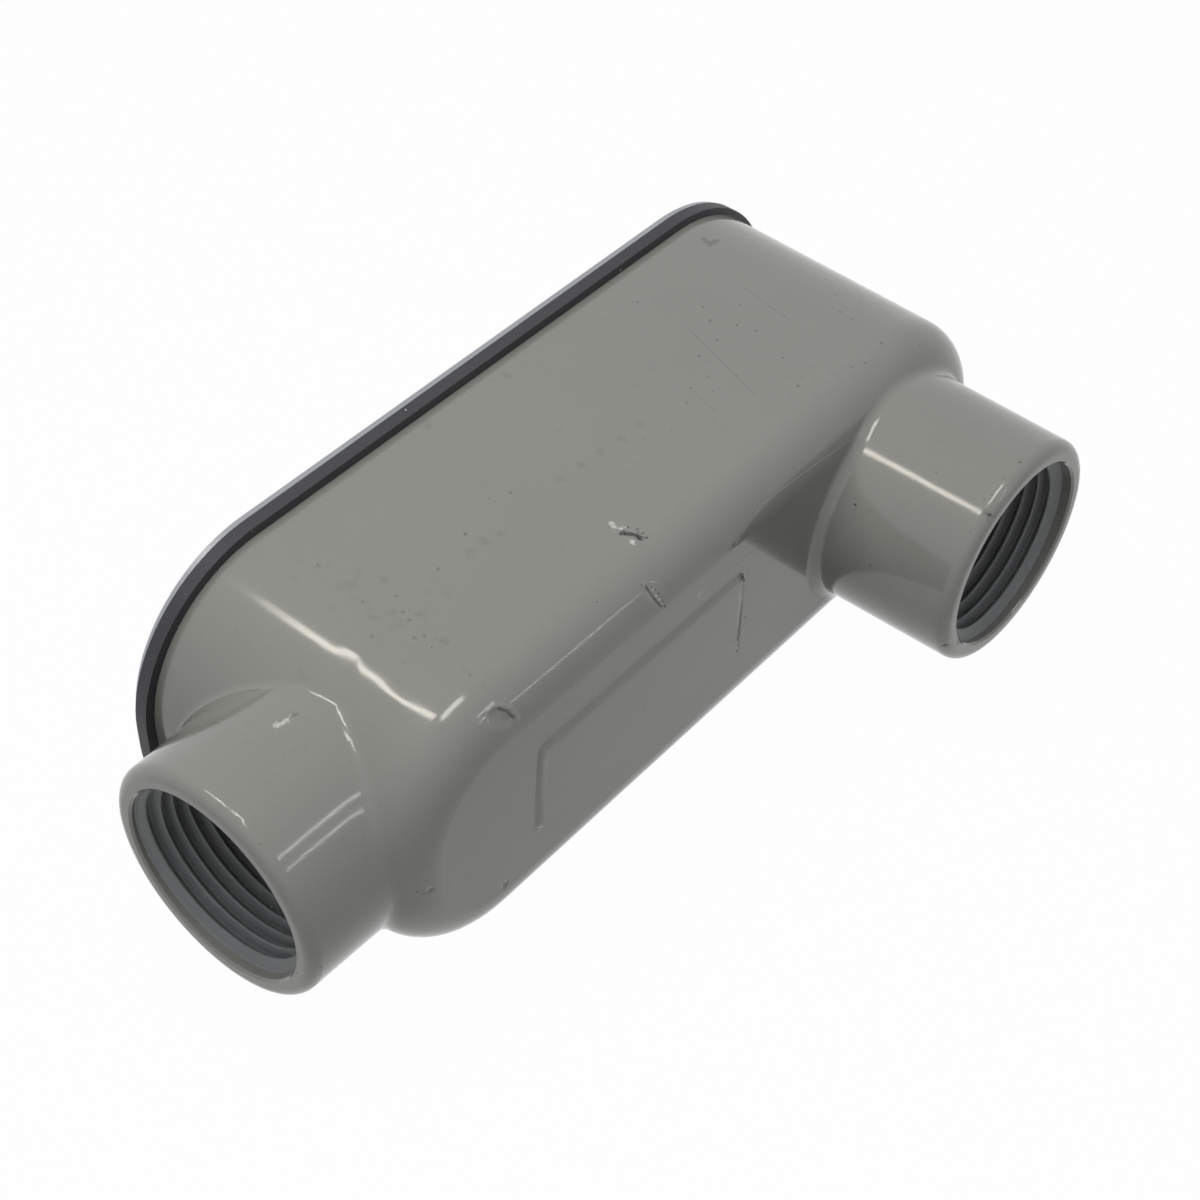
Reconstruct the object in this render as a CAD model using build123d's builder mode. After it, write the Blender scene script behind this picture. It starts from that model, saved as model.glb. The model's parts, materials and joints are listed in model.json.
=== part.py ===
"""Conduit body with a threaded hub on its end and another on its back, lying on its side wall.

+X runs along the box to the end hub's mouth, +Y from the cover to the back hub's mouth, and +Z up.
The origin is below the middle of the whole fitting, on the surface that it lies on.
All sizes are in millimetres.
"""

from build123d import *
from math import radians, tan
import os

# Threaded hubs, for three-quarter inch conduit
thread_radius = 13.3
thread_length = 15.0
mouth_bevel = 0.3
hub_mouth_radius = 16.1
hub_draft = 0.8
hub_rim_rounding = 1.6
hub_root_rounding = 1.6
end_hub_length = 11.1
back_hub_length = 20.7

# Smooth bushing behind each thread
throat_radius = 10.4
bushing_thickness = 2.5
bushing_lip_bevel = 1.0
bushing_boss_wall = 2.9
passage_step = 1.6

# Cast box, measured at the rim that the gasket lies on; each margin lies beside a hub's mouth
casting_length = 118.0
closed_end_reach = 23.3
side_margin = 4.1
rim_margin = 4.9
back_margin = 2.5
hub_end_flat = 3.4
wall_draft = 0.9
wall_thickness = 2.6
back_edge_rounding = 6.4
cavity_corner_bevel = 2.0

# Low panel raised on the back face, its start measured from the back hub's axis
panel_length = 39.2
panel_height = 14.9
panel_rise = 0.4
panel_edge_bevel = 0.3
panel_corner_radius = 1.5
panel_start = 32.0

# Gasket and cover, each set back a little at an end from the even overhang that it has elsewhere
gasket_thickness = 1.8
gasket_overhang = 1.35
closed_end_setback = 0.6
cover_thickness = 1.2
cover_overhang = 1.1
cover_hub_end_setback = 0.6
cover_edge_bevel = 0.3
cover_rise = 1.0
cover_rise_inset = 6.0
cover_rise_screw_gap = 6.0
cover_rise_bevel = 0.7

# Cover screws and their bosses
screw_radius = 2.05
screw_length = 9.5
screw_play = 0.05
screw_hole_spare = 0.4
screw_inset = 6.6
screw_head_radius = 3.9
screw_head_height = 2.2
screw_head_bevel = 1.2
screw_tip_bevel = 0.5
slot_width = 1.1
slot_depth = 1.0
boss_wall = 2.35
cover_hole_play = 0.3

# Sizes that follow from the ones above
casting_width = 2 * (hub_mouth_radius + side_margin)
rim_drop = hub_mouth_radius + rim_margin
casting_depth = rim_drop + hub_mouth_radius + back_margin
hub_end_corner_radius = (casting_width - hub_end_flat) / 2
end_hub_reach = casting_length - closed_end_reach + end_hub_length
back_hub_reach = hub_mouth_radius + back_margin + back_hub_length
bushing_reach = thread_length + bushing_thickness
bushing_boss_radius = thread_radius + bushing_boss_wall
passage_radius = throat_radius + passage_step
boss_radius = screw_radius + boss_wall

# Stations along X
overall_length = end_hub_reach + closed_end_reach + gasket_overhang - closed_end_setback
end_mouth_x = overall_length / 2
back_hub_x = end_mouth_x - end_hub_reach
closed_end_x = back_hub_x - closed_end_reach
hub_end_x = closed_end_x + casting_length
corner_start_x = hub_end_x - hub_end_corner_radius
end_bushing_x = end_mouth_x - bushing_reach

# Stations along Y
overall_depth = back_hub_reach + rim_drop + gasket_thickness + cover_thickness + screw_head_height
back_mouth_y = overall_depth / 2
end_hub_y = back_mouth_y - back_hub_reach
rim_y = end_hub_y - rim_drop
back_face_y = rim_y + casting_depth
rounding_start_y = back_face_y - back_edge_rounding
gasket_face_y = rim_y - gasket_thickness
cover_face_y = gasket_face_y - cover_thickness

# Height of the middle plane, which holds both hub axes
middle_z = casting_width / 2 + gasket_overhang

screw_hole_radius = screw_radius + screw_play
screw_hole_depth = screw_length - cover_thickness - gasket_thickness + screw_hole_spare
lug_depth = rim_drop - throat_radius - 2 * bushing_lip_bevel
closed_end_screw_x = closed_end_x + screw_inset
hub_end_screw_x = hub_end_x - screw_inset

# Raised middle of the cover, clear of the screws
rise_middle_x = (closed_end_screw_x + hub_end_screw_x) / 2
rise_length = hub_end_screw_x - closed_end_screw_x - 2 * cover_rise_screw_gap
rise_height = casting_width - 2 * cover_rise_inset

# Mouths and axes of the hubs
end_mouth = (end_mouth_x, end_hub_y, middle_z)
back_mouth = (back_hub_x, back_mouth_y, middle_z)
end_hub_axis = Axis(end_mouth, (1, 0, 0))
back_hub_axis = Axis(back_mouth, (0, 1, 0))
end_bushing_plane = Plane(origin=(end_bushing_x, end_hub_y, middle_z), x_dir=(0, 1, 0), z_dir=(1, 0, 0))
end_hub_section = Plane(origin=end_mouth, x_dir=(0, 0, 1), z_dir=(0, 1, 0))
back_hub_section = Plane(origin=back_mouth, x_dir=(0, 0, 1), z_dir=(-1, 0, 0))

# Section, axis and depth of each hub's turned form, whose root lies inside the box
hub_turnings = (
    (end_hub_section, end_hub_axis, end_mouth_x - corner_start_x),
    (back_hub_section, back_hub_axis, back_mouth_y - rounding_start_y),
)


def facing_back(y):
    """Plane across the box at a depth y, looking to the back, with its own x along the box."""
    return Plane(origin=(0, y, middle_z), x_dir=(1, 0, 0), z_dir=(0, 1, 0))


def facing_cover(y):
    """Plane across the box at a depth y, looking to the cover, with its own x along the box."""
    return Plane(origin=(0, y, middle_z), x_dir=(1, 0, 0), z_dir=(0, -1, 0))


def rim_outline(grow, closed_end_gap=0.0, hub_end_gap=0.0):
    """Draw the rim's outline, grown all round by a distance and set back by a gap at either end.

    The closed end is fully round, and the hub's end has two corners with a short flat between them.
    """
    half_width = casting_width / 2
    corner_shift = half_width - hub_end_corner_radius
    corner_x = corner_start_x - hub_end_gap
    with Locations((closed_end_x + half_width + closed_end_gap, 0)):
        Circle(half_width + grow)
    with Locations((corner_x, corner_shift), (corner_x, -corner_shift)):
        Circle(hub_end_corner_radius + grow)
    make_hull()


def screw_places():
    """Places of both cover screws on a plane across the box."""
    return Locations((closed_end_screw_x, 0), (hub_end_screw_x, 0))


# Core: the space inside the casting, open at the rim and clear of the bosses
with BuildPart() as core:
    with BuildSketch(facing_back(rim_y)):
        rim_outline(-wall_thickness)
    extrude(amount=casting_depth - wall_thickness)
    draft(core.faces().filter_by(Axis.Y, reverse=True), facing_back(rim_y), wall_draft)

    # Thick wall that carries the end hub's bushing, with a half-round top
    with BuildSketch(end_bushing_plane):
        Circle(bushing_boss_radius)
        with Locations((casting_depth / 2, 0)):
            Rectangle(casting_depth, 2 * bushing_boss_radius)
    extrude(amount=end_mouth_x - end_bushing_x, mode=Mode.SUBTRACT)

    # Bosses for the cover screws: a column at the closed end, a lug above the throat at the other
    with BuildSketch(facing_back(rim_y)):
        with Locations((closed_end_screw_x, 0)):
            Circle(boss_radius)
    extrude(amount=casting_depth, mode=Mode.SUBTRACT)
    with BuildSketch(facing_back(rim_y)):
        with Locations((hub_end_screw_x, 0)):
            Circle(boss_radius)
    extrude(amount=lug_depth, mode=Mode.SUBTRACT)
    floor = core.faces().sort_by(Axis.Y)[-1]
    chamfer(floor.edges(), cavity_corner_bevel)

# Casting: the drafted box with its rounded back
with BuildPart() as body:
    with BuildSketch(facing_back(rim_y)):
        rim_outline(0)
    extrude(amount=casting_depth)
    draft(body.faces().filter_by(Axis.Y, reverse=True), facing_back(rim_y), wall_draft)
    fillet(body.faces().sort_by(Axis.Y)[-1].edges(), back_edge_rounding)

    # Hubs, a little wider at the root than at the mouth, each blended into the box
    for section, axis, depth in hub_turnings:
        root_radius = hub_mouth_radius + depth * tan(radians(hub_draft))
        with BuildSketch(section):
            Polygon((0, 0), (hub_mouth_radius, 0), (root_radius, -depth), (0, -depth), align=None)
        revolve(axis=axis)
        fillet(body.edges(Select.NEW), hub_root_rounding)
    mouth_edges = body.edges().sort_by(Axis.X)[-1:] + body.edges().sort_by(Axis.Y)[-1:]
    fillet(mouth_edges, hub_rim_rounding)

    # Cavity, and the bore of each hub: bevelled mouth, thread, bushing and passage to the cavity
    add(core.part, mode=Mode.SUBTRACT)
    for section, axis, depth in hub_turnings:
        with BuildSketch(section):
            Polygon(
                (0, 0),
                (thread_radius + mouth_bevel, 0),
                (thread_radius, -mouth_bevel),
                (thread_radius, -thread_length),
                (throat_radius + bushing_lip_bevel, -thread_length),
                (throat_radius, -thread_length - bushing_lip_bevel),
                (throat_radius, -bushing_reach + bushing_lip_bevel),
                (throat_radius + bushing_lip_bevel, -bushing_reach),
                (passage_radius, -bushing_reach),
                (passage_radius, -depth),
                (0, -depth),
                align=None,
            )
        revolve(axis=axis, mode=Mode.SUBTRACT)

    # Blind holes for the cover screws
    with BuildSketch(facing_back(rim_y)):
        with screw_places():
            Circle(screw_hole_radius)
    extrude(amount=screw_hole_depth, mode=Mode.SUBTRACT)

    # Panel between the hubs
    with BuildSketch(facing_back(back_face_y)):
        with Locations((back_hub_x + panel_start + panel_length / 2, 0)):
            RectangleRounded(panel_length, panel_height, panel_corner_radius)
    extrude(amount=panel_rise)
    chamfer(body.faces(Select.LAST).sort_by(Axis.Y)[-1].edges(), panel_edge_bevel)

# Gasket: a flat sheet over the whole opening
with BuildPart() as gasket:
    with BuildSketch(facing_back(gasket_face_y)):
        rim_outline(gasket_overhang, closed_end_setback)
        with screw_places():
            Circle(screw_radius + cover_hole_play, mode=Mode.SUBTRACT)
    extrude(amount=gasket_thickness)

# Cover: stamped sheet with a raised middle
with BuildPart() as cover:
    with BuildSketch(facing_cover(gasket_face_y)):
        rim_outline(cover_overhang, closed_end_setback, cover_hub_end_setback)
    extrude(amount=cover_thickness)
    chamfer(cover.faces().sort_by(Axis.Y)[0].edges(), cover_edge_bevel)
    with BuildSketch(facing_cover(cover_face_y)):
        with Locations((rise_middle_x, 0)):
            SlotOverall(rise_length, rise_height)
    extrude(amount=cover_rise)
    chamfer(cover.faces().sort_by(Axis.Y)[0].edges(), cover_rise_bevel)
    with BuildSketch(facing_cover(gasket_face_y)):
        with Locations((rise_middle_x, 0)):
            SlotOverall(rise_length - 2 * cover_thickness, rise_height - 2 * cover_thickness)
    extrude(amount=cover_rise, mode=Mode.SUBTRACT)
    with BuildSketch(facing_cover(gasket_face_y)):
        with screw_places():
            Circle(screw_radius + cover_hole_play)
    extrude(amount=cover_thickness, mode=Mode.SUBTRACT)


def cover_screw(x):
    """Slotted screw seated on the cover at x, its shank reaching into the casting."""
    section = Plane(origin=(x, cover_face_y, middle_z), x_dir=(0, 0, 1), z_dir=(-1, 0, 0))
    with BuildPart() as screw:
        with BuildSketch(section):
            Polygon(
                (0, -screw_head_height),
                (screw_head_radius - screw_head_bevel, -screw_head_height),
                (screw_head_radius, screw_head_bevel - screw_head_height),
                (screw_head_radius, 0),
                (screw_radius, 0),
                (screw_radius, screw_length - screw_tip_bevel),
                (screw_radius - screw_tip_bevel, screw_length),
                (0, screw_length),
                align=None,
            )
        revolve(axis=Axis(section.origin, (0, 1, 0)))
        with BuildSketch(facing_back(cover_face_y - screw_head_height)):
            with Locations((x, 0)):
                Rectangle(3 * screw_head_radius, slot_width)
        extrude(amount=slot_depth, mode=Mode.SUBTRACT)
    return screw.part


closed_end_screw = cover_screw(closed_end_screw_x)
hub_end_screw = cover_screw(hub_end_screw_x)

os.makedirs("parts", exist_ok=True)
body.part.label = "body"
export_step(body.part, "parts/body.step")
gasket.part.label = "gasket"
export_step(gasket.part, "parts/gasket.step")
cover.part.label = "cover"
export_step(cover.part, "parts/cover.step")
closed_end_screw.label = "cover_screw_closed_end"
export_step(closed_end_screw, "parts/cover_screw_closed_end.step")
hub_end_screw.label = "cover_screw_hub_end"
export_step(hub_end_screw, "parts/cover_screw_hub_end.step")
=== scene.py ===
"""Looks of a grey enamelled conduit body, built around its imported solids.

Lengths in the sizes below are millimetres unless a name says otherwise. Blender's own are metres.
"""

import json
import logging
import math
from dataclasses import dataclass
from enum import Enum

import bmesh
import bpy
import numpy as np
from mathutils import Matrix, Vector
from mathutils.bvhtree import BVHTree


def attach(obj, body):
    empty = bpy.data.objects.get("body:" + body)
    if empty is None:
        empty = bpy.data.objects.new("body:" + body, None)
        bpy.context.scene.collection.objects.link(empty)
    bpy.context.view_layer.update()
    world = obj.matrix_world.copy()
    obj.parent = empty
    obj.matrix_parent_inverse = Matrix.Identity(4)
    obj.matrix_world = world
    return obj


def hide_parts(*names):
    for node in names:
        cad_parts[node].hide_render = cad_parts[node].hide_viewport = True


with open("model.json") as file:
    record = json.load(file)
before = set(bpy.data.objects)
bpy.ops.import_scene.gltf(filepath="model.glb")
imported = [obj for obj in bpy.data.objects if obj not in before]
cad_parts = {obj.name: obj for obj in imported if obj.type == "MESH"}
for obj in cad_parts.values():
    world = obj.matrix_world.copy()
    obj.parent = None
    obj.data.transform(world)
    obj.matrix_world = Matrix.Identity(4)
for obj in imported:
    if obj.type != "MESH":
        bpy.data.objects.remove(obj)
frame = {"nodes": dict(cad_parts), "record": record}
log = logging.getLogger("conduit_body")

MM = 0.001
ROOT = "root"
PHOTO_WIDTH = 1200
SENSOR_WIDTH = 36.0

# Length of one wave of Blender's wave texture at a scale of one
WAVE_TEXTURE_LENGTH = math.pi / 10

# What counts as nothing in the marks' geometry, in millimetres and square millimetres
TINY_OVERLAP = 1e-4
TINY_LENGTH = 1e-6
TINY_AREA = 1e-9

# Sine waves that roughen the marks: their count, the turns between their directions, their length
RIPPLE_WAVES = 6
RIPPLE_TURNS = (1.7, 2.9, 4.3)
RIPPLE_STRETCH = 2.5

# Pixels from one place on a mark's line to the next, at least and for each millimetre of its width
LEAST_PIXEL_STEP = 8.0
PIXEL_STEP_PER_WIDTH = 10

Pixel = tuple[float, float]
Place = tuple[float, float, float]


def metres(place: Place) -> Vector:
    """A place given in millimetres, as Blender's own metres."""
    return Vector(place) * MM


def linear(code: str) -> tuple[float, float, float, float]:
    """Turn an sRGB hex colour to the linear colour that a shader takes.

    Args:
        code: colour such as "#9a9b96".

    Returns:
        Linear red, green, blue and an alpha of one.
    """
    channels = [int(code[i:i + 2], 16) / 255 for i in (1, 3, 5)]
    turned = [c / 12.92 if c <= 0.04045 else ((c + 0.055) / 1.055) ** 2.4 for c in channels]
    return (*turned, 1.0)


def per_mm(size: float) -> float:
    """Texture scale that gives features of about one size in millimetres."""
    return 1 / (size * MM)


def add_node(
    tree: bpy.types.NodeTree,
    kind: str,
    inputs: dict | None = None,
    **settings: object,
) -> bpy.types.Node:
    """Add one node with its settings, values and links.

    Args:
        tree: node tree that takes the node.
        kind: Blender's name of the node's type.
        inputs: value or linked output for each named or numbered input.
        **settings: the node's own options.

    Returns:
        The new node.
    """
    node = tree.nodes.new(kind)
    for name, value in settings.items():
        setattr(node, name, value)
    for name, value in (inputs or {}).items():
        if isinstance(value, bpy.types.NodeSocket):
            tree.links.new(value, node.inputs[name])
        else:
            node.inputs[name].default_value = value
    return node


def new_material(name: str) -> tuple[bpy.types.Material, bpy.types.NodeTree]:
    """Make an empty material.

    Args:
        name: the material's name.

    Returns:
        The material and its empty node tree.
    """
    material = bpy.data.materials.new(name)
    material.use_nodes = True
    material.node_tree.nodes.clear()
    return material, material.node_tree


def new_object(name: str, mesh: bpy.types.Mesh) -> bpy.types.Object:
    """Put a mesh into the scene as an object at the origin.

    Args:
        name: the object's name.
        mesh: its mesh.

    Returns:
        The object.
    """
    made = bpy.data.objects.new(name, mesh)
    bpy.context.scene.collection.objects.link(made)
    return made


def dress(piece: bpy.types.Object, material: bpy.types.Material) -> None:
    """Give a piece one material, in place of any that it has.

    Args:
        piece: the object to dress.
        material: its only material.
    """
    piece.data.materials.clear()
    piece.data.materials.append(material)
    for polygon in piece.data.polygons:
        polygon.material_index = 0


@dataclass(frozen=True)
class Viewpoint:
    """The camera, which stands and looks as the photograph's did."""

    place: Place = (161.72, 125.60, 231.84)
    forward: Place = (-0.54728, -0.43427, -0.71547)
    up: Place = (-0.53751, -0.47289, 0.69818)
    lens_pixels: float = 2313.6
    middle: Pixel = (606.2, 600.7)
    nearest_metres: float = 0.01
    farthest_metres: float = 10.0

    def turn(self) -> Matrix:
        """Find how the camera is turned.

        Returns:
            Directions to the right, up and back as the columns of a matrix.
        """
        back = -Vector(self.forward).normalized()
        right = Vector(self.up).cross(back).normalized()
        return Matrix((right, back.cross(right), back)).transposed()

    def sight(self, pixel: Pixel) -> Vector:
        """Find where a pixel of the photograph looks.

        Args:
            pixel: its place across and down.

        Returns:
            Direction in which the camera sees it.
        """
        across = (pixel[0] - self.middle[0]) / self.lens_pixels
        down = (pixel[1] - self.middle[1]) / self.lens_pixels
        return (self.turn() @ Vector((across, -down, -1))).normalized()

    def build(self) -> bpy.types.Object:
        """Make the scene's camera.

        Returns:
            The camera object.
        """
        data = bpy.data.cameras.new("photo_camera")
        data.sensor_width = SENSOR_WIDTH
        data.lens = self.lens_pixels / PHOTO_WIDTH * SENSOR_WIDTH
        data.shift_x = 0.5 - self.middle[0] / PHOTO_WIDTH
        data.shift_y = self.middle[1] / PHOTO_WIDTH - 0.5
        data.clip_start = self.nearest_metres
        data.clip_end = self.farthest_metres
        camera = bpy.data.objects.new("photo_camera", data)
        camera.matrix_world = Matrix.Translation(metres(self.place)) @ self.turn().to_4x4()
        bpy.context.scene.collection.objects.link(camera)
        bpy.context.scene.camera = camera
        return camera


@dataclass(frozen=True)
class Lamp:
    """One flat lamp of the studio, aimed at a point on the object."""

    name: str
    place: Place
    aim: Place
    along: Place
    length: float
    width: float
    power: float
    colour: str = "#ffffff"
    mirrored: bool = True

    def turn(self) -> Matrix:
        """Find how the lamp is turned.

        Returns:
            Directions along it, across it and back from its aim as the columns of a matrix.
        """
        back = (metres(self.place) - metres(self.aim)).normalized()
        across = back.cross(Vector(self.along)).normalized()
        return Matrix((across.cross(back), across, back)).transposed()

    def build(self) -> bpy.types.Object:
        """Make the lamp.

        Returns:
            The lamp object.
        """
        data = bpy.data.lights.new(self.name, "AREA")
        data.shape = "RECTANGLE"
        data.size = self.length * MM
        data.size_y = self.width * MM
        data.energy = self.power
        data.color = linear(self.colour)[:3]
        lamp = bpy.data.objects.new(self.name, data)
        lamp.visible_glossy = self.mirrored
        lamp.matrix_world = Matrix.Translation(metres(self.place)) @ self.turn().to_4x4()
        bpy.context.scene.collection.objects.link(lamp)
        return lamp


@dataclass(frozen=True)
class Studio:
    """A plain pale floor, white surroundings and soft light."""

    floor_size: float = 3000.0
    floor_colour: str = "#a8a8a6"
    floor_white_share: float = 0.985
    ambient: float = 0.12
    lamps: tuple[Lamp, ...] = (
        Lamp("overhead_softbox", (150, -120, 700), (0, 0, 20), (0, 1, 0), 700, 500, 2.2, mirrored=False),
        Lamp("side_softbox", (420, 120, 300), (0, 0, 20), (0, 1, 0), 300, 200, 0.2, mirrored=False),
        Lamp("back_softbox", (230, 450, 480), (0, 20, 20), (1, 0, 0), 350, 250, 0.25, mirrored=False),
        Lamp("ceiling_lamp", (10, 15, 520), (5, 5, 30), (1, 0, 0), 200, 90, 0.50, "#fffcf6"),
        Lamp("long_tube", (72, -84, 240), (20, 0, 35), (0, 1, 0), 92, 17, 0.07, "#fff8ec"),
        Lamp("upper_window_bar", (-64, 211, 220), (50, 5, 35), (1, 0, 0), 50, 5, 0.013),
        Lamp("lower_window_bar", (-74, 244, 172), (50, 5, 35), (1, 0, 0), 60, 5, 0.013),
        Lamp("far_window_bar", (-122, 252, 116), (20, 10, 39), (1, 0, 0), 60, 4, 0.010),
    )

    def seen_as_white(self, tree: bpy.types.NodeTree) -> bpy.types.NodeSocket:
        """Tell rays that show the background from those that light the object.

        Args:
            tree: node tree that takes the nodes.

        Returns:
            An output that is one for camera, glossy and transmission rays.
        """
        path = add_node(tree, "ShaderNodeLightPath")
        shown = path.outputs["Is Camera Ray"]
        for name in ("Is Glossy Ray", "Is Transmission Ray"):
            shown = add_node(
                tree, "ShaderNodeMath", {0: shown, 1: path.outputs[name]}, operation="MAXIMUM"
            ).outputs[0]
        return shown

    def build_floor(self) -> bpy.types.Object:
        """Make the floor, white to the eye with a faint shadow, pale grey as a source of light.

        Returns:
            The floor object.
        """
        half = self.floor_size / 2 * MM
        mesh = bpy.data.meshes.new("floor")
        corners = [(-half, -half, 0), (half, -half, 0), (half, half, 0), (-half, half, 0)]
        mesh.from_pydata(corners, [], [(0, 1, 2, 3)])
        floor = new_object("floor", mesh)
        material, tree = new_material("matte_white_board")
        board = add_node(tree, "ShaderNodeBsdfDiffuse", {"Color": linear(self.floor_colour)})
        white = add_node(tree, "ShaderNodeEmission", {"Color": linear("#ffffff"), "Strength": 1.0})
        share = add_node(
            tree,
            "ShaderNodeMath",
            {0: self.seen_as_white(tree), 1: self.floor_white_share},
            operation="MULTIPLY",
        )
        mixed = add_node(
            tree,
            "ShaderNodeMixShader",
            {0: share.outputs[0], 1: board.outputs[0], 2: white.outputs[0]},
        )
        add_node(tree, "ShaderNodeOutputMaterial", {"Surface": mixed.outputs[0]})
        dress(floor, material)
        return floor

    def build_world(self) -> None:
        """Make the surroundings: white to the eye, a plain grey light to the object."""
        world = bpy.data.worlds.new("studio")
        bpy.context.scene.world = world
        world.use_nodes = True
        tree = world.node_tree
        tree.nodes.clear()
        strength = add_node(
            tree,
            "ShaderNodeMapRange",
            {"Value": self.seen_as_white(tree), "To Min": self.ambient, "To Max": 1.0},
        )
        light = add_node(
            tree,
            "ShaderNodeBackground",
            {"Color": linear("#ffffff"), "Strength": strength.outputs[0]},
        )
        add_node(tree, "ShaderNodeOutputWorld", {"Surface": light.outputs[0]})

    def build(self) -> None:
        """Make the floor, the surroundings and the lamps, and report them."""
        bpy.context.scene.view_settings.view_transform = "Standard"
        self.build_floor()
        self.build_world()
        for lamp in self.lamps:
            lamp.build()
        log.info("studio: floor, surroundings and %d lamps", len(self.lamps))


def layered(
    tree: bpy.types.NodeTree, colour: str, layers: tuple[tuple[bpy.types.NodeSocket, str], ...]
) -> bpy.types.NodeSocket:
    """Lay colours over one another.

    Args:
        tree: node tree that takes the nodes.
        colour: the lowest colour.
        layers: how much of each further colour shows, and that colour, from the lowest up.

    Returns:
        The colour that is seen.
    """
    seen = linear(colour)
    for share, over in layers:
        inputs = {"Factor": share, "A": seen, "B": linear(over)}
        seen = add_node(tree, "ShaderNodeMix", inputs, data_type="RGBA").outputs["Result"]
    return seen


@dataclass(frozen=True)
class Specks:
    """Small round spots, scattered at random and gathered in loose patches."""

    spacing: float
    radius: float
    share: float
    patch_size: float
    strength: float = 1.0
    patch_softness: float = 0.12

    def mask(
        self, tree: bpy.types.NodeTree, where: bpy.types.NodeSocket
    ) -> bpy.types.NodeSocket:
        """Make the spots' mask.

        Args:
            tree: node tree that takes the nodes.
            where: place on the piece.

        Returns:
            An output that grows from zero at a spot's edge to its strength in the middle.
        """
        cells = add_node(
            tree, "ShaderNodeTexVoronoi", {"Vector": where, "Scale": per_mm(self.spacing)}
        )
        patches = add_node(
            tree,
            "ShaderNodeTexNoise",
            {"Vector": where, "Scale": per_mm(self.patch_size), "Detail": 1.0},
        )
        chosen = add_node(
            tree,
            "ShaderNodeMapRange",
            {
                "Value": patches.outputs["Fac"],
                "From Min": 1 - self.share - self.patch_softness,
                "From Max": 1 - self.share + self.patch_softness,
                "To Max": self.radius / self.spacing,
            },
        )
        spot = add_node(
            tree,
            "ShaderNodeMapRange",
            {
                "Value": cells.outputs["Distance"],
                "From Min": chosen.outputs[0],
                "From Max": 0.0,
                "To Max": self.strength,
            },
        )
        return spot.outputs[0]


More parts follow.
